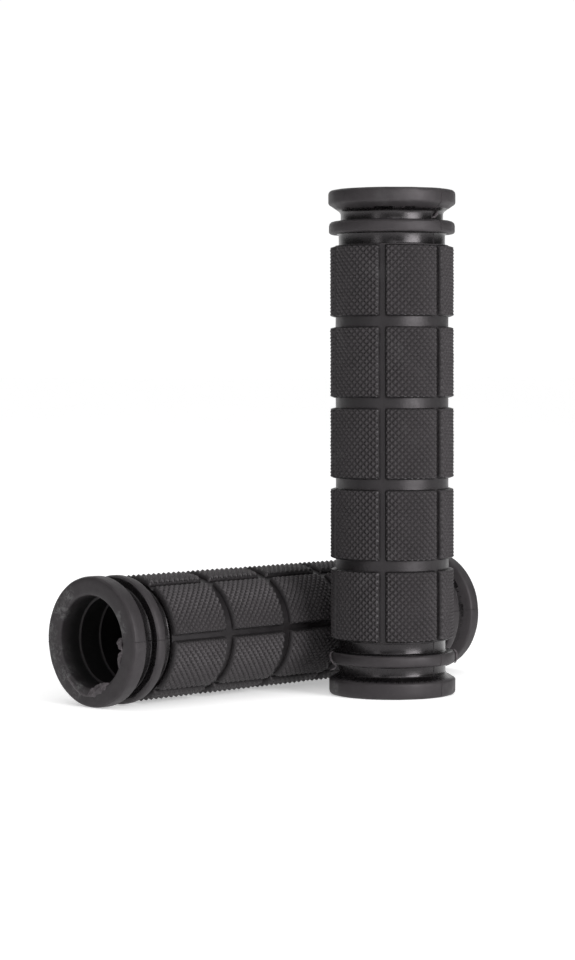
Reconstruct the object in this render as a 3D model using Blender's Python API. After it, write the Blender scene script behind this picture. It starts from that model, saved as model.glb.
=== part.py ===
"""A pair of slip-on rubber handlebar grips: one stands on its open end, one lies behind it.

Each grip is one rubber moulding, a blind tube that is pushed over a 22.2 mm handlebar. From the
mouth it has an end flange, a thin ring, five rows of six raised pads, a second ring and a second
flange, which is closed. Two thin ribs run round the inside of the bore near its mouth.

The origin lies on the surface that the pair rests on, under the middle of the pair. +Z is up and
+X runs along the lying grip, from its mouth to its closed end.
"""

import math

import bmesh
import bpy

# Driving dimensions, in metres.
GRIP_LENGTH = 0.125
FLANGE_RADIUS = 0.01575
RING_RADIUS = 0.0156
PAD_RADIUS = 0.0152
CORE_RADIUS = 0.0140
BORE_RADIUS = 0.0111
CLOSED_END_THICKNESS = 0.003

# The two flanges. The closed one has a longer slope behind it and a slimmer neck.
EDGE_ROUND = 0.0009
OPEN_FLANGE_THICKNESS = 0.0036
OPEN_FLANGE_SLOPE = 0.0016
OPEN_NECK_RADIUS = 0.0133
CLOSED_FLANGE_THICKNESS = 0.0034
CLOSED_FLANGE_SLOPE = 0.0021
CLOSED_NECK_RADIUS = 0.0127

# The thin ring between each flange and the pads, and the neck on the ring's inner side.
RING_DISTANCE = 0.0077
RING_THICKNESS = 0.0031
RING_EDGE_ROUND = 0.0005
INNER_NECK_RADIUS = 0.0132

# Pads: rows along the grip and columns round it, with a groove between neighbours.
PAD_ROWS = 5
PAD_COLUMNS = 6
PAD_LENGTH = 0.0175
ROW_GROOVE = 0.00245
PAD_WALL_SLOPE = 0.00045
SEGMENTS_PER_COLUMN = 8
SEGMENTS = PAD_COLUMNS * SEGMENTS_PER_COLUMN
SEGMENT_ANGLE = 2 * math.pi / SEGMENTS

# The mouth's rounded lip and the thin ribs inside the bore.
LIP_ROUND = 0.0006
RIB_DEPTHS = (0.0065, 0.0130)
RIB_HEIGHT = 0.0005
RIB_WIDTH = 0.0012

# Where the two grips are, and how far each is turned about its own axis.
AXIS_SPACING = 0.032
STANDING_X = 0.0096
STANDING_TURN = math.radians(32.7)
LYING_TURN = math.radians(26.7)

# Below this distance two corners of the turned mesh are the same corner.
WELD_DISTANCE = 1e-6

# Edges that turn by less than this are shaded smooth.
SMOOTH_ANGLE = math.radians(30)

# Satin black rubber.
RUBBER_COLOUR = (0.035, 0.034, 0.035, 1)
RUBBER_ROUGHNESS = 0.55


def pad_row_spans():
    """The (start, end) heights of the rows of pads, from the mouth upwards."""
    rows_length = PAD_ROWS * PAD_LENGTH + (PAD_ROWS - 1) * ROW_GROOVE
    first = (GRIP_LENGTH - rows_length) / 2
    starts = [first + row * (PAD_LENGTH + ROW_GROOVE) for row in range(PAD_ROWS)]
    return [(start, start + PAD_LENGTH) for start in starts]


def round_edge(radius, size):
    """Three points round the edge between an end's flat face and a flange of this radius."""
    inset = size * (1 - math.sqrt(0.5))
    return [
        (radius - size, 0),
        (radius - inset, inset),
        (radius, size),
    ]


def end_section(flange_thickness, slope, neck_radius):
    """The outside of one end as (radius, distance from that end's face) points, face first."""
    points = round_edge(FLANGE_RADIUS, EDGE_ROUND)
    points += [
        (FLANGE_RADIUS, flange_thickness),
        (neck_radius, flange_thickness + slope),
        (neck_radius, RING_DISTANCE),
        (RING_RADIUS - RING_EDGE_ROUND, RING_DISTANCE),
        (RING_RADIUS, RING_DISTANCE + RING_EDGE_ROUND),
        (RING_RADIUS, RING_DISTANCE + RING_THICKNESS - RING_EDGE_ROUND),
        (RING_RADIUS - RING_EDGE_ROUND, RING_DISTANCE + RING_THICKNESS),
        (INNER_NECK_RADIUS, RING_DISTANCE + RING_THICKNESS),
        (INNER_NECK_RADIUS, pad_row_spans()[0][0]),
    ]
    return points


def bore_section():
    """The mouth's lip, the ribs and the blind end of the bore, from the mouth inwards."""
    points = [
        (BORE_RADIUS + LIP_ROUND, 0),
        (BORE_RADIUS, LIP_ROUND),
    ]
    for depth in RIB_DEPTHS:
        points += [
            (BORE_RADIUS, depth - RIB_WIDTH / 2),
            (BORE_RADIUS - RIB_HEIGHT, depth),
            (BORE_RADIUS, depth + RIB_WIDTH / 2),
        ]
    blind_end = GRIP_LENGTH - CLOSED_END_THICKNESS
    points += [(BORE_RADIUS, blind_end), (0, blind_end)]
    return points


def grip_section():
    """The half section of a grip without its pads: down the outside, then up the bore."""
    closed_end = end_section(CLOSED_FLANGE_THICKNESS, CLOSED_FLANGE_SLOPE, CLOSED_NECK_RADIUS)
    open_end = end_section(OPEN_FLANGE_THICKNESS, OPEN_FLANGE_SLOPE, OPEN_NECK_RADIUS)
    points = [(0, GRIP_LENGTH)]
    points += [(radius, GRIP_LENGTH - distance) for radius, distance in closed_end]
    for start, end in reversed(pad_row_spans()):
        points += [(CORE_RADIUS, end), (CORE_RADIUS, start)]
    points += reversed(open_end)
    return points + bore_section()


def turn_section(mesh, section):
    """Spin the section round the Z axis, so that a groove's middle lies on +X."""
    start = -SEGMENT_ANGLE / 2
    corners = [
        mesh.verts.new((radius * math.cos(start), radius * math.sin(start), height))
        for radius, height in section
    ]
    edges = [mesh.edges.new(pair) for pair in zip(corners, corners[1:])]
    bmesh.ops.spin(
        mesh,
        geom=corners + edges,
        cent=(0, 0, 0),
        axis=(0, 0, 1),
        angle=2 * math.pi,
        steps=SEGMENTS,
        use_merge=True,
    )
    bmesh.ops.remove_doubles(mesh, verts=mesh.verts, dist=WELD_DISTANCE)


def is_pad_face(face):
    """Whether this face of the core lies under a pad, and not in a groove, a neck or the bore."""
    middle = face.calc_center_median()
    if middle.xy.length < INNER_NECK_RADIUS:
        return False
    if not any(start < middle.z < end for start, end in pad_row_spans()):
        return False
    segment = round(math.atan2(middle.y, middle.x) / SEGMENT_ANGLE)
    return segment % SEGMENTS_PER_COLUMN != 0


def raise_pads(mesh):
    """Raise every pad from the core, with walls that lean in a little."""
    pads = [face for face in mesh.faces if is_pad_face(face)]
    bmesh.ops.inset_region(mesh, faces=pads, thickness=PAD_WALL_SLOPE, use_even_offset=True)
    for corner in {corner for face in pads for corner in face.verts}:
        corner.co.xy *= PAD_RADIUS / corner.co.xy.length


def rubber(name):
    """The material of one grip."""
    material = bpy.data.materials.new(name)
    material.use_nodes = True
    shader = material.node_tree.nodes["Principled BSDF"]
    shader.inputs["Base Color"].default_value = RUBBER_COLOUR
    shader.inputs["Roughness"].default_value = RUBBER_ROUGHNESS
    shader.inputs["Metallic"].default_value = 0
    return material


def make_grip(name):
    """One grip, standing with its mouth's centre at the origin."""
    shape = bmesh.new()
    turn_section(shape, grip_section())
    raise_pads(shape)
    bmesh.ops.recalc_face_normals(shape, faces=shape.faces)
    data = bpy.data.meshes.new(name)
    shape.to_mesh(data)
    shape.free()
    data.shade_smooth()
    data.set_sharp_from_angle(angle=SMOOTH_ANGLE)
    data.materials.append(rubber(name + "_rubber"))
    grip = bpy.data.objects.new(name, data)
    bpy.context.scene.collection.objects.link(grip)
    return grip


def main():
    for old in list(bpy.data.objects):
        bpy.data.objects.remove(old)

    standing = make_grip("standing_grip")
    standing.location = (STANDING_X, -AXIS_SPACING / 2, 0)
    standing.rotation_euler.z = STANDING_TURN

    # The lying grip is turned about its own axis first, and then tipped over towards +X.
    lying = make_grip("lying_grip")
    lying.location = (-GRIP_LENGTH / 2, AXIS_SPACING / 2, FLANGE_RADIUS)
    lying.rotation_mode = "ZYX"
    lying.rotation_euler = (0, math.pi / 2, LYING_TURN)


main()
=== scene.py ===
"""The looks of a pair of slip-on rubber handlebar grips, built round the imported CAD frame.

Each grip is one mesh: a grid of rows along the grip and columns round it, whose radius is a turned
outline plus pads with a diamond knurl. Lengths are in metres. In a grip's own space its mouth is
at z = 0, its closed end at z = LENGTH, and the middle of one lengthwise groove is on +X.
"""

import math

import bpy
import numpy as np
from mathutils import Matrix, Vector, noise


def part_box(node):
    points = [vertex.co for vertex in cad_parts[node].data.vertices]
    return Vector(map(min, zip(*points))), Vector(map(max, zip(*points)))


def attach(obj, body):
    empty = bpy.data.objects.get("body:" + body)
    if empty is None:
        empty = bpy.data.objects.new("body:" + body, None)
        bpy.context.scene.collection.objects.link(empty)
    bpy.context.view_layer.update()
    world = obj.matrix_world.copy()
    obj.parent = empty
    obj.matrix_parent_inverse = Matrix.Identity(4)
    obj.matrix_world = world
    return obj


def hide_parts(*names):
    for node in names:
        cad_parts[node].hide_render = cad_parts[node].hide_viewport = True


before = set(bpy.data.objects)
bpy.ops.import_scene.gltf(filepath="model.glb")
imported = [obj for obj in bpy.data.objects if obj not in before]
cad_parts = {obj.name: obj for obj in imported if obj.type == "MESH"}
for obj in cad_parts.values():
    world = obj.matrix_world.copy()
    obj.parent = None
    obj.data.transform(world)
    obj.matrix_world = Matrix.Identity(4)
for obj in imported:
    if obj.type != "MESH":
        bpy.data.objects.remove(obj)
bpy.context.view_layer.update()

# Sizes that the frame gives.
STANDING_LOW, STANDING_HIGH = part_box("standing_grip")
LYING_LOW, LYING_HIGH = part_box("lying_grip")
LENGTH = STANDING_HIGH.z - STANDING_LOW.z
FLANGE = (STANDING_HIGH.x - STANDING_LOW.x) / 2

# How far each grip is turned about its own axis.
STANDING_TURN = math.radians(32.7)
LYING_TURN = math.radians(26.7)

# Radii.
RING = 0.0156
CORE = 0.0140
BORE = 0.0111
INNER_NECK = 0.0132
OPEN_NECK = 0.0133
CLOSED_NECK = 0.0127

# Distances from an end's face.
OPEN_FLANGE_BACK = 0.0038
OPEN_SLOPE_END = 0.0052
CLOSED_FLANGE_BACK = 0.0034
CLOSED_SLOPE_END = 0.0055
RING_FRONT = 0.0077
RING_BACK = 0.0108
CLOSED_END_THICKNESS = 0.003
LIP_ROUND = 0.0008
RIB_DEPTHS = (0.0065, 0.0130)
RIB_HEIGHT = 0.0005
RIB_HALF_WIDTH = 0.0003

# The mark that the gate leaves in the middle of the closed end.
GATE_DEPTH = 0.0004
GATE_FLOOR = 0.0016
GATE_RIM = 0.0023
GATE_ROUND = 0.0003

# Pads.
PAD_ROWS = 5
PAD_COLUMNS = 6
PAD_LENGTH = 0.0175
ROW_GROOVE = 0.00245
FIRST_PAD = (LENGTH - PAD_ROWS * PAD_LENGTH - (PAD_ROWS - 1) * ROW_GROOVE) / 2
CORE_START = FIRST_PAD - 0.0002
PAD_HEIGHT = 0.00094
SIDE_ROUND = 0.0008
END_ROUND = 0.0006
GROOVE_HALF_ANGLE = math.radians(2.5)
WALL_STEEPNESS = 2.1
KNURL_HEIGHT = 0.00052
KNURL_TIP = 0.85
KNURL_QUARTERS_ROUND = 30
KNURL_QUARTERS_ALONG = 39

# How fine the grid is.
WALL_ANGLES = (0, 18, 38, 62, 90)
GROOVE_LINES = (-1, -0.5, -0.12, 0, 0.12, 0.5)
LONGEST_STEP = 0.0012
LONGEST_BORE_STEP = 0.012
SMOOTH_ANGLE = math.radians(30)

# Unevenness of the moulding.
WAVE_HEIGHT = 0.00005
WAVE_SIZE = 0.0035
SEAM_HEIGHT = 0.00014
SEAM_COLUMNS = (1, 4)

# Torn webs: the size of their roughness, and its height against a web's half width.
FLASH_WAVE = 0.0006
FLASH_ROUGHNESS = 0.50

# Which of a grip's materials a face has, and the heights and radii where they change.
MATT, GROOVE, NECK, KNURLED, TORN = range(5)
PAD_MATERIAL_HEIGHT = 0.00015
OPEN_NECK_POLISH = 0.0150
CLOSED_NECK_POLISH = 0.0137

# Tones that all kinds of rubber share, and the painted shade deep in the bore and on the pads' walls.
BORE_PAINTED_SHADE = 0.004
RIM_PAINTED_SHADE = 0.008
RIM_POLISH = 0.6
DUST_TONE = 0.16
SCUFF_TONE = 0.10
SPECK_BRIGHTNESS = 2.2

# Sizes of the rubber's features.
BLOTCH_SIZE = 0.006
SPECK_SIZE = 0.0005
BLOOM_SIZE = 0.009
RAGGED_SIZE = 0.0012
SMEAR_SIZE = 0.0022
BUMP_DISTANCE = 0.00012

# How the rubber reflects.
SPECULAR_LEVEL = 0.45
SPECULAR_TINT = (1.0, 0.94, 0.98, 1.0)

# The camera, and directions seen from it.
CAMERA_DISTANCE = 0.680
CAMERA_HEIGHT = 0.0801
CAMERA_SIDE_STEP = 0.02597
CAMERA_HEADING = math.radians(45.65)
CAMERA_PITCH = math.radians(2.26)
CAMERA_ROLL = math.radians(0.14)
CAMERA_LENS = 102.5
TO_CAMERA = Vector((-math.sin(CAMERA_HEADING), -math.cos(CAMERA_HEADING), 0))
TO_RIGHT = Vector((math.cos(CAMERA_HEADING), -math.sin(CAMERA_HEADING), 0))
AIM = Vector((0, 0, LENGTH / 2))

# The studio floor.
FLOOR_RADIUS = 40.0
FLOOR_GLOW = 0.40
FLOOR_RINGS = 24
FLOOR_COLUMNS = 96


def filleted(corners, steps=4):
    """The outline through (radius, distance, fillet) corners, with each fillet as an arc."""
    outline = []
    for index, (x, y, fillet) in enumerate(corners):
        here = Vector((x, y))
        if not fillet or index in (0, len(corners) - 1):
            outline.append(here)
            continue
        before = (Vector(corners[index - 1][:2]) - here).normalized()
        after = (Vector(corners[index + 1][:2]) - here).normalized()
        half = before.angle(after) / 2
        reach = fillet / math.tan(half)
        centre = here + (before + after).normalized() * (fillet / math.sin(half))
        first = here + before * reach - centre
        last = here + after * reach - centre
        turn = math.atan2(first.x * last.y - first.y * last.x, first.dot(last))
        for step in range(steps + 1):
            outline.append(centre + Matrix.Rotation(turn * step / steps, 2) @ first)
    return outline


def stepped(outline, longest):
    """The same outline, with no step longer than this."""
    points = [outline[0]]
    for start, end in zip(outline, outline[1:]):
        count = math.ceil((end - start).length / longest)
        points += [start.lerp(end, step / count) for step in range(1, count + 1)]
    return points


def closed_end_outline():
    """The closed end from its middle to the foot of the pads, as (radius, distance from the face)."""
    corners = [
        (0.0, GATE_DEPTH, 0),
        (GATE_FLOOR, GATE_DEPTH, GATE_ROUND),
        (GATE_RIM, 0.0, GATE_ROUND),
        (FLANGE, 0.0, 0.0010),
        (FLANGE, CLOSED_FLANGE_BACK, 0.0008),
        (CLOSED_NECK, CLOSED_SLOPE_END, 0.0012),
        (CLOSED_NECK, RING_FRONT, 0.0003),
        (RING, RING_FRONT, 0.0011),
        (RING, RING_BACK, 0.0006),
        (INNER_NECK, RING_BACK, 0.0004),
        (INNER_NECK, CORE_START, 0.0003),
        (CORE, CORE_START, 0),
    ]
    return stepped(filleted(corners, 3), LONGEST_STEP)


def open_end_outline():
    """The open end from the mouth's lip to the foot of the pads, as (radius, distance)."""
    corners = [
        (BORE + LIP_ROUND, 0.0, 0),
        (FLANGE, 0.0, 0.0009),
        (FLANGE, OPEN_FLANGE_BACK, 0.0006),
        (OPEN_NECK, OPEN_SLOPE_END, 0.0010),
        (OPEN_NECK, RING_FRONT, 0.0003),
        (RING, RING_FRONT, 0.0010),
        (RING, RING_BACK, 0.0010),
        (INNER_NECK, RING_BACK, 0.0004),
        (INNER_NECK, CORE_START, 0.0003),
        (CORE, CORE_START, 0),
    ]
    return stepped(filleted(corners, 3), LONGEST_STEP)


def bore_outline():
    """The bore from the lip to the axis at its blind end, as (radius, depth)."""
    corners = [(BORE + 2 * LIP_ROUND, 0.0, 0), (BORE, 0.0, LIP_ROUND)]
    for depth in RIB_DEPTHS:
        corners += [
            (BORE, depth - RIB_HALF_WIDTH, 0),
            (BORE - RIB_HEIGHT, depth - RIB_HALF_WIDTH / 2, 0),
            (BORE - RIB_HEIGHT, depth + RIB_HALF_WIDTH / 2, 0),
            (BORE, depth + RIB_HALF_WIDTH, 0),
        ]
    blind = LENGTH - CLOSED_END_THICKNESS
    corners += [(BORE, blind, 0.001), (0.0, blind, 0)]
    return stepped(filleted(corners)[2:], LONGEST_BORE_STEP)


def wall_steps(width):
    """Distances from a pad's foot over its rounded wall, closer together where it is steep."""
    power = 2 / WALL_STEEPNESS
    return [width * (1 - math.cos(math.radians(angle)) ** power) for angle in WALL_ANGLES]


def pad_lines(start, end, wall, quarters):
    """Grid lines over one pad from foot to foot, and the knurl's phase in quarters at each."""
    steps = wall_steps(wall)
    pitch = (end - start - 2 * wall) / quarters
    lines = [start + step for step in steps[:-1]]
    lines += [start + wall + pitch * quarter for quarter in range(quarters + 1)]
    lines += [end - step for step in reversed(steps[:-1])]
    return lines, [(line - start - wall) / pitch for line in lines]


def columns():
    """Angle, distance to a pad's side wall and knurl phase of each column."""
    sector = 2 * math.pi / PAD_COLUMNS
    outer = CORE + PAD_HEIGHT
    start = GROOVE_HALF_ANGLE * outer
    end = (sector - GROOVE_HALF_ANGLE) * outer
    lines, phases = pad_lines(start, end, SIDE_ROUND, KNURL_QUARTERS_ROUND)
    table = []
    for column in range(PAD_COLUMNS):
        for line in GROOVE_LINES:
            table.append((column * sector + GROOVE_HALF_ANGLE * line, -1.0, 0.0))
        for line, phase in zip(lines[:-1], phases):
            side = min(line - start, end - line) / SIDE_ROUND
            table.append((column * sector + line / outer, side, phase))
    return np.array(table).T


def rows():
    """Radius, height, distance to a pad's end wall and knurl phase of each row.

    They run from the bore's blind end to its lip, over the outside, and to the closed end's middle.
    """
    table = [(p.x, p.y, -1.0, 0.0) for p in reversed(bore_outline())]
    table += [(p.x, p.y, -1.0, 0.0) for p in open_end_outline()]
    for row in range(PAD_ROWS):
        start = FIRST_PAD + row * (PAD_LENGTH + ROW_GROOVE)
        end = start + PAD_LENGTH
        for line, phase in zip(*pad_lines(start, end, END_ROUND, KNURL_QUARTERS_ALONG)):
            table.append((CORE, line, min(line - start, end - line) / END_ROUND, phase))
        if row < PAD_ROWS - 1:
            table.append((CORE, end + ROW_GROOVE / 2, -1.0, 0.0))
    table += [(p.x, LENGTH - p.y, -1.0, 0.0) for p in reversed(closed_end_outline())]
    return np.array(table).T


def pad_relief(side, end, u, v):
    """How far the pads stand out over the grid, and how high knurl and rim are, from 0 to 1."""
    on_pad = (side > 0) & (end > 0)
    corner = np.hypot(1 - np.clip(side, 0, 1), 1 - np.clip(end, 0, 1))
    edge = np.clip(1 - corner, 0, 1)
    shoulder = (1 - (1 - edge) ** WALL_STEEPNESS) ** (1 / WALL_STEEPNESS)
    away = np.abs(u - np.round(u)) + np.abs(v - np.round(v))
    diamonds = np.minimum(np.abs(1 - 2 * away), KNURL_TIP)
    knurl = np.where(on_pad, diamonds * np.minimum(2 * edge, 1), 0.0)
    rim = np.where(on_pad, 4 * edge * (1 - edge), 0.0)
    return np.where(on_pad, PAD_HEIGHT * shoulder, 0.0) + KNURL_HEIGHT * knurl, knurl, rim


def waves(points, seed):
    """A slow unevenness of every point, as soft rubber has when it leaves its mould."""
    shift = Vector((seed, 0.0, 0.0))
    return np.array([noise.noise_vector(Vector(p) / WAVE_SIZE + shift) for p in points])


def grid_faces(row_count, column_count, u, v):
    """Triangles of a grid closed round its columns, split so that the knurl's valleys are edges."""
    here = np.arange(column_count)
    after = (here + 1) % column_count
    faces = []
    for row in range(row_count - 1):
        low = row * column_count
        high = low + column_count
        halves = np.floor(2 * u + 1e-6) + math.floor(2 * v[row] + 1e-6)
        even = (halves % 2 == 0)[:, None]
        a, b, c, d = low + here, low + after, high + after, high + here
        faces.append(np.where(even, np.stack([a, b, d], 1), np.stack([a, b, c], 1)))
        faces.append(np.where(even, np.stack([b, c, d], 1), np.stack([a, c, d], 1)))
    return np.concatenate(faces)


def grip_mesh(seed):
    """Points and triangles of one grip, and the knurl and rim of every point."""
    angle, side, across = columns()
    radius, height, end, along = rows()
    u = across / 4
    v = along / 4
    relief, knurl, rim = pad_relief(side[None, :], end[:, None], u[None, :], v[:, None])
    wide = radius[:, None] + relief
    plain = np.arange(len(radius)) < len(bore_outline())
    plain |= (height > FIRST_PAD) & (height < LENGTH - FIRST_PAD)
    seam = np.zeros_like(wide)
    for column in SEAM_COLUMNS:
        middle = column * len(angle) // PAD_COLUMNS + GROOVE_LINES.index(0)
        seam[:, middle] = SEAM_HEIGHT
    seam[plain] = 0
    wide = wide + seam
    heights = np.broadcast_to(height[:, None], wide.shape)
    points = np.stack([wide * np.cos(angle), wide * np.sin(angle), heights], 2)
    points = points.reshape(-1, 3)
    points = points + WAVE_HEIGHT * waves(points, seed)
    columns_round = len(angle)
    first = points[:columns_round].mean(0)
    last = points[-columns_round:].mean(0)
    body = points[columns_round:-columns_round]
    faces = grid_faces(len(radius) - 2, columns_round, u, v[1:-1])
    here = np.arange(columns_round)
    after = (here + 1) % columns_round
    top = len(body) - columns_round
    fans = [
        np.stack([after, here, np.full(columns_round, len(body))], 1),
        np.stack([top + here, top + after, np.full(columns_round, len(body) + 1)], 1),
    ]
    faces = np.concatenate([faces] + fans)
    body = np.concatenate([body, [first, last]])
    knurl, rim = (np.concatenate([field[1:-1].ravel(), [0, 0]]) for field in (knurl, rim))
    return body, faces, knurl, rim


def scuffing(points, marks):
    """How scuffed every point is, from 0 to 1, by (angle, radius, height, size) marks."""
    most = np.zeros(len(points))
    for angle, radius, height, size in marks:
        turn = math.radians(angle)
        middle = (radius * math.cos(turn), radius * math.sin(turn), height)
        away = np.linalg.norm(points - np.array(middle), axis=1) / size
        most = np.maximum(most, np.clip(1 - away**2, 0, 1))
    return most


def bore_shade_mask(points):
    """How deep in the bore every point is, as a mask for painted shade: 1 from the first rib inwards, 0 at the
    lip and on ribs.
    """
    radius = np.hypot(points[:, 0], points[:, 1])
    rib = (radius < BORE - RIB_HEIGHT / 2) & (points[:, 2] < RIB_DEPTHS[-1] + RIB_HALF_WIDTH)
    wall = (radius < BORE + LIP_ROUND) & ~rib
    return np.where(wall, np.clip(points[:, 2] / RIB_DEPTHS[0], 0, 1), 0.0)


def smooth_path(points, steps):
    """Rows of numbers on a smooth curve through these rows."""
    table = np.array([points[0]] + list(points) + [points[-1]], float)
    path = []
    for first, here, after, last in zip(table, table[1:], table[2:], table[3:]):
        for step in range(steps):
            t = step / steps
            path.append(
                0.5 * (2 * here + (after - first) * t + (2 * first - 5 * here + 4 * after - last) * t**2
                       + (3 * here - first - 3 * after + last) * t**3)
            )
    path.append(table[-1])
    return np.array(path)


def flash_mesh(points, seed, sides=10, steps=6):
    """A thin torn web of rubber left by the mould.

    Its points are (angle, radius, height, half width, half thickness, tilt): the web's middle in
    degrees and metres, its size, and how far its width leans from radial towards the grip's axis.
    """
    path = smooth_path(points, steps)
    angle = np.radians(path[:, 0])
    radial = np.stack([np.cos(angle), np.sin(angle), np.zeros_like(angle)], 1)
    middle = radial * path[:, 1:2]
    middle[:, 2] = path[:, 2]
    along = np.gradient(middle, axis=0)
    tilt = np.radians(path[:, 5:6])
    width = np.cos(tilt) * radial + np.sin(tilt) * np.array([0.0, 0.0, 1.0])
    across = np.cross(along, width)
    across /= np.linalg.norm(across, axis=1, keepdims=True)
    width = np.cross(across, along)
    width /= np.linalg.norm(width, axis=1, keepdims=True)
    turn = np.linspace(0, 2 * np.pi, sides, endpoint=False)
    rings = (middle[:, None, :]
             + np.cos(turn)[None, :, None] * (width * path[:, 3:4])[:, None, :]
             + np.sin(turn)[None, :, None] * (across * path[:, 4:5])[:, None, :])
    rings = rings.reshape(-1, 3)
    shift = Vector((0.0, seed, 0.0))
    rough = np.array([noise.noise_vector(Vector(p) / FLASH_WAVE + shift) for p in rings])
    rings = rings + rough * np.repeat(path[:, 3:4], sides, axis=0) * FLASH_ROUGHNESS
    count = len(path)
    faces = grid_faces(count, sides, np.zeros(sides), np.zeros(count))
    here = np.arange(sides)
    after = (here + 1) % sides
    far = (count - 1) * sides
    ends = [
        np.stack([after, here, np.full(sides, len(rings))], 1),
        np.stack([far + here, far + after, np.full(sides, len(rings) + 1)], 1),
    ]
    rings = np.concatenate([rings, [middle[0], middle[-1]]])
    return rings, np.concatenate([faces] + ends)


def face_kinds(points, faces):
    """Which material each face has: a knurled pad, a groove, a polished neck, or the matt rest. The darker base
    colours of groove and neck rubber are painted shade in these recesses.
    """
    middle = points[faces].mean(1)
    radius = np.hypot(middle[:, 0], middle[:, 1])
    between = (middle[:, 2] > FIRST_PAD) & (middle[:, 2] < LENGTH - FIRST_PAD)
    recessed = (middle[:, 2] > OPEN_FLANGE_BACK) & (middle[:, 2] < LENGTH - CLOSED_FLANGE_BACK)
    outside = radius > BORE + LIP_ROUND
    low = radius < CORE + PAD_MATERIAL_HEIGHT
    polished = np.where(middle[:, 2] < FIRST_PAD, OPEN_NECK_POLISH, CLOSED_NECK_POLISH)
    kinds = np.where(recessed & outside & (radius < polished), NECK, MATT)
    kinds = np.where(between & low & outside, GROOVE, kinds)
    return np.where(between & ~low, KNURLED, kinds)


def grip(name, node, place, turn, webs, marks, seed):
    """One grip with its torn webs, as a single object that stands for its CAD node."""
    points, faces, knurl, rim = grip_mesh(seed)
    kinds = face_kinds(points, faces)
    for index, web in enumerate(webs):
        more, ends = flash_mesh(web, seed + index)
        faces = np.concatenate([faces, ends + len(points)])
        points = np.concatenate([points, more])
        knurl = np.concatenate([knurl, np.zeros(len(more))])
        rim = np.concatenate([rim, np.zeros(len(more))])
        kinds = np.concatenate([kinds, np.full(len(ends), TORN)])
    scuffs = scuffing(points, marks)
    depth = bore_shade_mask(points)
    points = points @ np.array(Matrix.Rotation(turn, 3, "Z")).T
    mesh = bpy.data.meshes.new(name)
    mesh.from_pydata(points.tolist(), [], faces.tolist())
    mesh.polygons.foreach_set("material_index", kinds.astype(np.int32))
    for label, values in (("knurl", knurl), ("rim", rim), ("scuff", scuffs), ("depth", depth)):
        mesh.attributes.new(label, "FLOAT", "POINT").data.foreach_set("value", values)
    mesh.shade_smooth()
    mesh.set_sharp_from_angle(angle=SMOOTH_ANGLE)
    for material in (MATT_RUBBER, GROOVE_RUBBER, NECK_RUBBER, KNURLED_RUBBER, TORN_RUBBER):
        mesh.materials.append(material)
    obj = bpy.data.objects.new(name, mesh)
    bpy.context.scene.collection.objects.link(obj)
    obj.matrix_world = place
    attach(obj, node)
    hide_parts(node)


def add(tree, kind, inputs=None, **settings):
    """A new shader node. An input that is a socket is linked, and any other is set."""
    made = tree.nodes.new(kind)
    for name, value in settings.items():
        setattr(made, name, value)
    for name, value in (inputs or {}).items():
        if isinstance(value, bpy.types.NodeSocket):
            tree.links.new(value, made.inputs[name])
        else:
            made.inputs[name].default_value = value
    return made


def noise_of(tree, place, size, detail=3.0, roughness=0.55, distortion=0.0):
    """Noise whose features are about this size, from 0 to 1."""
    inputs = {"Vector": place, "Scale": 1 / size, "Detail": detail, "Roughness": roughness,
              "Distortion": distortion}
    return add(tree, "ShaderNodeTexNoise", inputs).outputs["Fac"]


def ramp(tree, value, low, high, to_low=0.0, to_high=1.0):
    """The value, stretched from one range to another and clamped there."""
    inputs = {"Value": value, "From Min": low, "From Max": high, "To Min": to_low, "To Max": to_high}
    return add(tree, "ShaderNodeMapRange", inputs).outputs["Result"]


def blend(tree, factor, first, second):
    """A mix of two colours."""
    made = add(tree, "ShaderNodeMix", data_type="RGBA")
    for socket, value in ((made.inputs[0], factor), (made.inputs[6], first), (made.inputs[7], second)):
        if isinstance(value, bpy.types.NodeSocket):
            tree.links.new(value, socket)
        else:
            socket.default_value = value
    return made.outputs[2]


def grey(value, warmth=0.0):
    """A grey, with this much more red and half as much more blue."""
    return (value * (1 + warmth), value, value * (1 + warmth / 2), 1.0)


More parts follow.
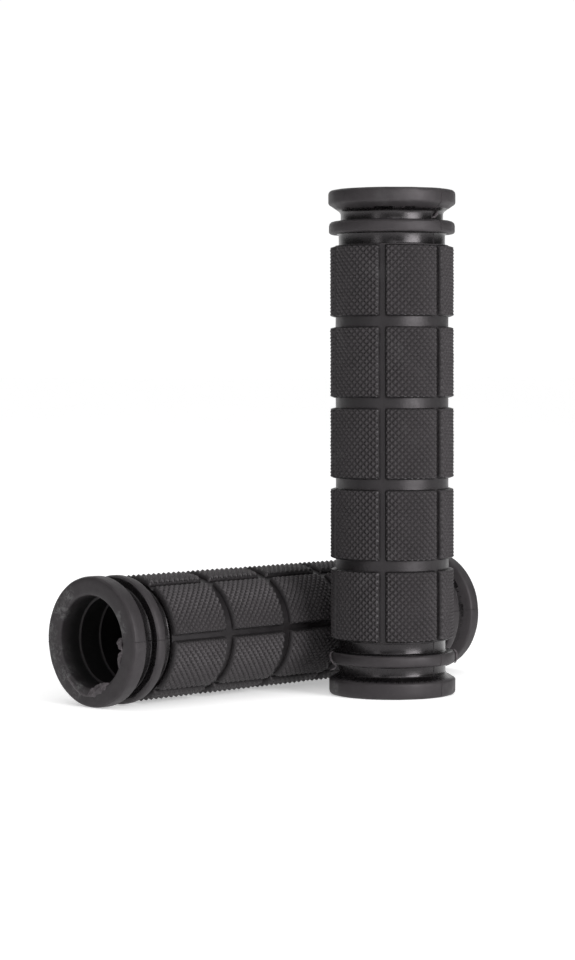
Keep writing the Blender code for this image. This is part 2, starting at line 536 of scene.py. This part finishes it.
def rubber(name, dark, light, rough, grain, grain_strength, dust, tips=0.0):
    """Black rubber: blotches, fine specks, dusty bloom, and the grain that its mould left, with painted shade
    deep in the bore and, on knurled rubber, on the pads' rounded walls.
    """
    material = bpy.data.materials.new(name)
    material.use_nodes = True
    tree = material.node_tree
    shader = tree.nodes["Principled BSDF"]
    place = add(tree, "ShaderNodeTexCoord").outputs["Object"]
    blotches = noise_of(tree, place, BLOTCH_SIZE, detail=5.0)
    specks = noise_of(tree, place, SPECK_SIZE, detail=2.0)
    patches = noise_of(tree, place, BLOOM_SIZE, detail=7.0, roughness=0.7, distortion=0.4)
    bloom = ramp(tree, patches, 0.56, 0.76)
    colour = blend(tree, ramp(tree, blotches, 0.35, 0.65), grey(dark, 0.14), grey(light, 0.14))
    if tips:
        height = add(tree, "ShaderNodeAttribute", attribute_name="knurl").outputs["Fac"]
        colour = blend(tree, ramp(tree, height, 0.35, 0.80), colour, grey(tips, 0.10))
        # Painted shade: the pads' rounded side and end walls get a darker colour. They are also glossier by
        # RIM_POLISH.
        rim = add(tree, "ShaderNodeAttribute", attribute_name="rim").outputs["Fac"]
        colour = blend(tree, ramp(tree, rim, 0.1, 0.6), colour, grey(RIM_PAINTED_SHADE, 0.10))
    colour = blend(tree, ramp(tree, specks, 0.62, 0.8, 0.0, 0.35), colour, grey(light * SPECK_BRIGHTNESS, 0.10))
    colour = blend(tree, ramp(tree, bloom, 0.0, 1.0, 0.0, dust), colour, grey(DUST_TONE, -0.02))
    scuff = add(tree, "ShaderNodeAttribute", attribute_name="scuff").outputs["Fac"]
    torn = noise_of(tree, place, RAGGED_SIZE, detail=8.0, roughness=0.75, distortion=0.6)
    ragged = ramp(tree, torn, 0.46, 0.62)
    worn = add(tree, "ShaderNodeMath", {0: scuff, 1: ragged}, operation="MULTIPLY").outputs[0]
    colour = blend(tree, worn, colour, grey(SCUFF_TONE))
    # Painted shade: the bore's wall darkens from the lip to the first rib and stays dark further in.
    depth = add(tree, "ShaderNodeAttribute", attribute_name="depth").outputs["Fac"]
    colour = blend(tree, ramp(tree, depth, 0.0, 0.7), colour, grey(BORE_PAINTED_SHADE))
    tree.links.new(colour, shader.inputs["Base Color"])
    scuffs = noise_of(tree, place, SMEAR_SIZE, detail=6.0, roughness=0.7)
    roughness = ramp(tree, scuffs, 0.3, 0.7, rough[0], rough[1])
    if tips:
        polish = ramp(tree, rim, 0.2, 1.0, 1.0, RIM_POLISH)
        smoother = {0: roughness, 1: polish}
        roughness = add(tree, "ShaderNodeMath", smoother, operation="MULTIPLY").outputs[0]
    tree.links.new(roughness, shader.inputs["Roughness"])
    fine = noise_of(tree, place, grain, detail=2.0, roughness=0.6)
    soft = noise_of(tree, place, grain * 7, detail=3.0)
    height = add(tree, "ShaderNodeMath", {0: fine, 1: soft}, operation="ADD").outputs[0]
    relief = {"Strength": grain_strength, "Distance": BUMP_DISTANCE, "Height": height}
    bump = add(tree, "ShaderNodeBump", relief)
    tree.links.new(bump.outputs["Normal"], shader.inputs["Normal"])
    shader.inputs["Specular IOR Level"].default_value = SPECULAR_LEVEL
    shader.inputs["Specular Tint"].default_value = SPECULAR_TINT
    return material


def direction(right, up):
    """A unit vector from the grips, this many degrees right of the camera and above the floor."""
    turn, rise = math.radians(right), math.radians(up)
    level = math.cos(turn) * TO_CAMERA + math.sin(turn) * TO_RIGHT
    return math.cos(rise) * level + math.sin(rise) * Vector((0, 0, 1))


def softbox(name, right, up, distance, width, height, power):
    """A rectangular studio light that faces the grips."""
    light = bpy.data.lights.new(name, "AREA")
    light.shape = "RECTANGLE"
    light.size = width
    light.size_y = height
    light.energy = power
    obj = bpy.data.objects.new(name, light)
    bpy.context.scene.collection.objects.link(obj)
    obj.location = AIM + distance * direction(right, up)
    obj.rotation_euler = direction(right, up).to_track_quat("Z", "Y").to_euler()
    obj.visible_camera = False


def floor():
    """A wide flat studio floor, in rings that grow outwards."""
    rings, around = FLOOR_RINGS, FLOOR_COLUMNS
    points = [(0.0, 0.0, 0.0)]
    for ring in range(rings):
        radius = FLOOR_RADIUS * 2.0 ** (ring + 1 - rings)
        for step in range(around):
            turn = 2 * math.pi * step / around
            points.append((radius * math.cos(turn), radius * math.sin(turn), 0.0))
    faces = [(0, 1 + index, 1 + (index + 1) % around) for index in range(around)]
    faces += (grid_faces(rings, around, np.zeros(around), np.zeros(rings))[:, ::-1] + 1).tolist()
    mesh = bpy.data.meshes.new("studio_floor")
    mesh.from_pydata(points, [], faces)
    material = bpy.data.materials.new("pale_floor")
    material.use_nodes = True
    tree = material.node_tree
    shader = tree.nodes["Principled BSDF"]
    place = add(tree, "ShaderNodeTexCoord").outputs["Object"]
    mottle = ramp(tree, noise_of(tree, place, 0.4), 0.3, 0.7)
    tree.links.new(blend(tree, mottle, grey(0.92), grey(0.94)), shader.inputs["Base Color"])
    shader.inputs["Roughness"].default_value = 0.9
    shader.inputs["Specular IOR Level"].default_value = 0.1
    shader.inputs["Emission Color"].default_value = (1.0, 1.0, 1.0, 1.0)
    shader.inputs["Emission Strength"].default_value = FLOOR_GLOW
    mesh.materials.append(material)
    obj = bpy.data.objects.new("studio_floor", mesh)
    bpy.context.scene.collection.objects.link(obj)


def studio_sky(base, lobes):
    """Soft light from all round: a base level, and (direction, inner, outer, strength) lobes."""
    world = bpy.data.worlds.new("studio")
    world.use_nodes = True
    tree = world.node_tree
    background = tree.nodes["Background"]
    background.inputs["Color"].default_value = (1.0, 1.0, 1.0, 1.0)
    way = add(tree, "ShaderNodeTexCoord").outputs["Generated"]
    total = None
    for toward, inner, outer, strength in lobes:
        facing = add(tree, "ShaderNodeVectorMath", {0: way, 1: toward}, operation="DOT_PRODUCT")
        near = facing.outputs["Value"]
        inputs = {"Value": near, "From Min": math.cos(math.radians(outer)),
                  "From Max": math.cos(math.radians(inner)), "To Min": 0.0, "To Max": strength}
        lobe = add(tree, "ShaderNodeMapRange", inputs, interpolation_type="SMOOTHSTEP").outputs["Result"]
        before = base if total is None else total
        total = add(tree, "ShaderNodeMath", {0: before, 1: lobe}, operation="ADD").outputs[0]
    tree.links.new(total, background.inputs["Strength"])
    bpy.context.scene.world = world


MATT_RUBBER = rubber("matt_rubber", 0.012, 0.017, (0.48, 0.62), 0.00018, 0.25, 0.10)
# Groove and neck rubber are glossier than the matt rest, which is real. Their darker base colours are painted
# shade in the recesses.
GROOVE_RUBBER = rubber("groove_rubber", 0.004, 0.007, (0.34, 0.48), 0.00018, 0.25, 0.05)
NECK_RUBBER = rubber("neck_rubber", 0.002, 0.004, (0.20, 0.34), 0.00018, 0.10, 0.04)
KNURLED_RUBBER = rubber("knurled_rubber", 0.011, 0.015, (0.50, 0.66), 0.00015, 0.25, 0.08, tips=0.025)
TORN_RUBBER = rubber("torn_rubber", 0.025, 0.075, (0.50, 0.70), 0.00025, 0.60, 0.20)

# Torn webs, as (angle, radius, height, half width, half thickness, tilt) in degrees and mm.
MOUTH_WEBS = [
    [(-20, 13.2, 0.10, 0.10, 0.08, 0), (-28, 12.4, -0.05, 0.75, 0.22, 6),
     (-38, 11.7, -0.15, 1.10, 0.28, 10),
     (-50, 11.3, -0.10, 0.95, 0.26, 10), (-62, 11.3, 0.10, 0.12, 0.08, 0)],
    [(26, 11.9, 0.10, 0.10, 0.08, 0), (12, 12.2, 0.0, 0.30, 0.14, 0), (-2, 12.6, 0.0, 0.42, 0.15, 0),
     (-14, 13.0, 0.0, 0.35, 0.13, 0), (-24, 13.1, 0.10, 0.10, 0.08, 0)],
    [(-110, 11.4, 0.4, 0.20, 0.15, 0), (-115, 10.6, 0.3, 0.80, 0.50, 10), (-120, 10.4, 0.4, 0.95, 0.55, 20),
     (-126, 11.3, 0.5, 0.20, 0.15, 0)],
    [(-86, 11.4, 0.5, 0.12, 0.10, 0), (-92, 11.0, 0.3, 0.50, 0.28, 10), (-100, 10.8, 0.3, 0.72, 0.36, 20),
     (-106, 10.9, 0.4, 0.55, 0.30, 10), (-111, 11.4, 0.5, 0.10, 0.10, 0)],
]
FOOT_WEBS = [
    [(118, 15.5, 10.9, 0.12, 0.10, 0), (116, 15.9, 10.2, 0.25, 0.20, 0), (119, 16.1, 9.1, 0.28, 0.22, 0),
     (124, 16.0, 8.2, 0.26, 0.20, 0), (129, 15.9, 7.6, 0.24, 0.18, 0), (124, 15.9, 6.7, 0.22, 0.16, 0),
     (117, 16.2, 6.2, 0.10, 0.08, 0)],
    [(-84, 15.4, 11.0, 0.12, 0.10, 0), (-81, 15.8, 10.4, 0.26, 0.20, 0), (-79, 16.0, 9.4, 0.28, 0.22, 0),
     (-82, 15.9, 8.3, 0.26, 0.20, 0), (-87, 15.6, 7.7, 0.12, 0.10, 0)],
    [(-108, 12.7, 119.6, 0.10, 0.10, 0), (-112, 12.9, 119.0, 0.42, 0.30, 0),
     (-116, 12.9, 118.2, 0.50, 0.34, 0),
     (-121, 12.7, 117.8, 0.10, 0.10, 0)],
]

# Scuffs, as (angle, radius, height, size) in degrees and metres.
MOUTH_SCUFFS = [
    (97, 0.0133, 0.0, 0.0036), (118, 0.0137, 0.0, 0.0026), (48, 0.0133, 0.0, 0.0034),
    (70, 0.0146, 0.0005, 0.0030),
    (22, 0.0125, 0.0, 0.0028), (-6, 0.0126, 0.0, 0.0026), (-135, 0.0118, 0.0003, 0.0022),
    (-150, 0.0120, 0.0, 0.0018),
]
FOOT_SCUFFS = [
    (-78, 0.0158, 0.0035, 0.0025), (-95, 0.0158, 0.0004, 0.0022), (125, 0.0158, 0.0020, 0.0022),
    (-60, 0.0158, 0.1230, 0.0022),
]


def in_metres(webs):
    """The webs with their sizes turned from millimetres to metres."""
    return [
        [(angle, *(size / 1000 for size in sizes), tilt) for angle, *sizes, tilt in web]
        for web in webs
    ]


LYING_AXIS = (LYING_LOW + LYING_HIGH) / 2
STANDING_AXIS = (STANDING_LOW + STANDING_HIGH) / 2
STANDING_PLACE = Matrix.Translation((STANDING_AXIS.x, STANDING_AXIS.y, STANDING_LOW.z))
LYING_MOUTH = Matrix.Translation((LYING_LOW.x, LYING_AXIS.y, LYING_AXIS.z))
LYING_PLACE = LYING_MOUTH @ Matrix.Rotation(math.pi / 2, 4, "Y")

grip("standing_rubber_grip", "standing_grip", STANDING_PLACE, STANDING_TURN,
     in_metres(FOOT_WEBS), FOOT_SCUFFS, 3.0)
grip("lying_rubber_grip", "lying_grip", LYING_PLACE, LYING_TURN,
     in_metres(MOUTH_WEBS), MOUTH_SCUFFS, 11.0)

floor()
softbox("key_softbox", 45, 15, 1.0, 0.44, 0.60, 9.0)
softbox("fill_softbox", -34, 15, 1.1, 0.25, 0.60, 1.2)
softbox("front_softbox", 6, 28, 1.1, 0.40, 0.40, 1.6)
studio_sky(0.11, [
    (direction(0, 90), 30, 70, 0.75),
    (direction(-174, 0), 22, 51, 0.92),
])
bpy.context.scene.view_settings.view_transform = "Standard"

camera = bpy.data.objects.new("camera", bpy.data.cameras.new("camera"))
camera.data.lens = CAMERA_LENS
foot = Vector((STANDING_AXIS.x, STANDING_AXIS.y, 0))
camera.location = foot + CAMERA_DISTANCE * TO_CAMERA - CAMERA_SIDE_STEP * TO_RIGHT
camera.location.z += CAMERA_HEIGHT
camera.rotation_euler = (math.pi / 2 - CAMERA_PITCH, CAMERA_ROLL, -CAMERA_HEADING)
bpy.context.scene.collection.objects.link(camera)
bpy.context.scene.camera = camera
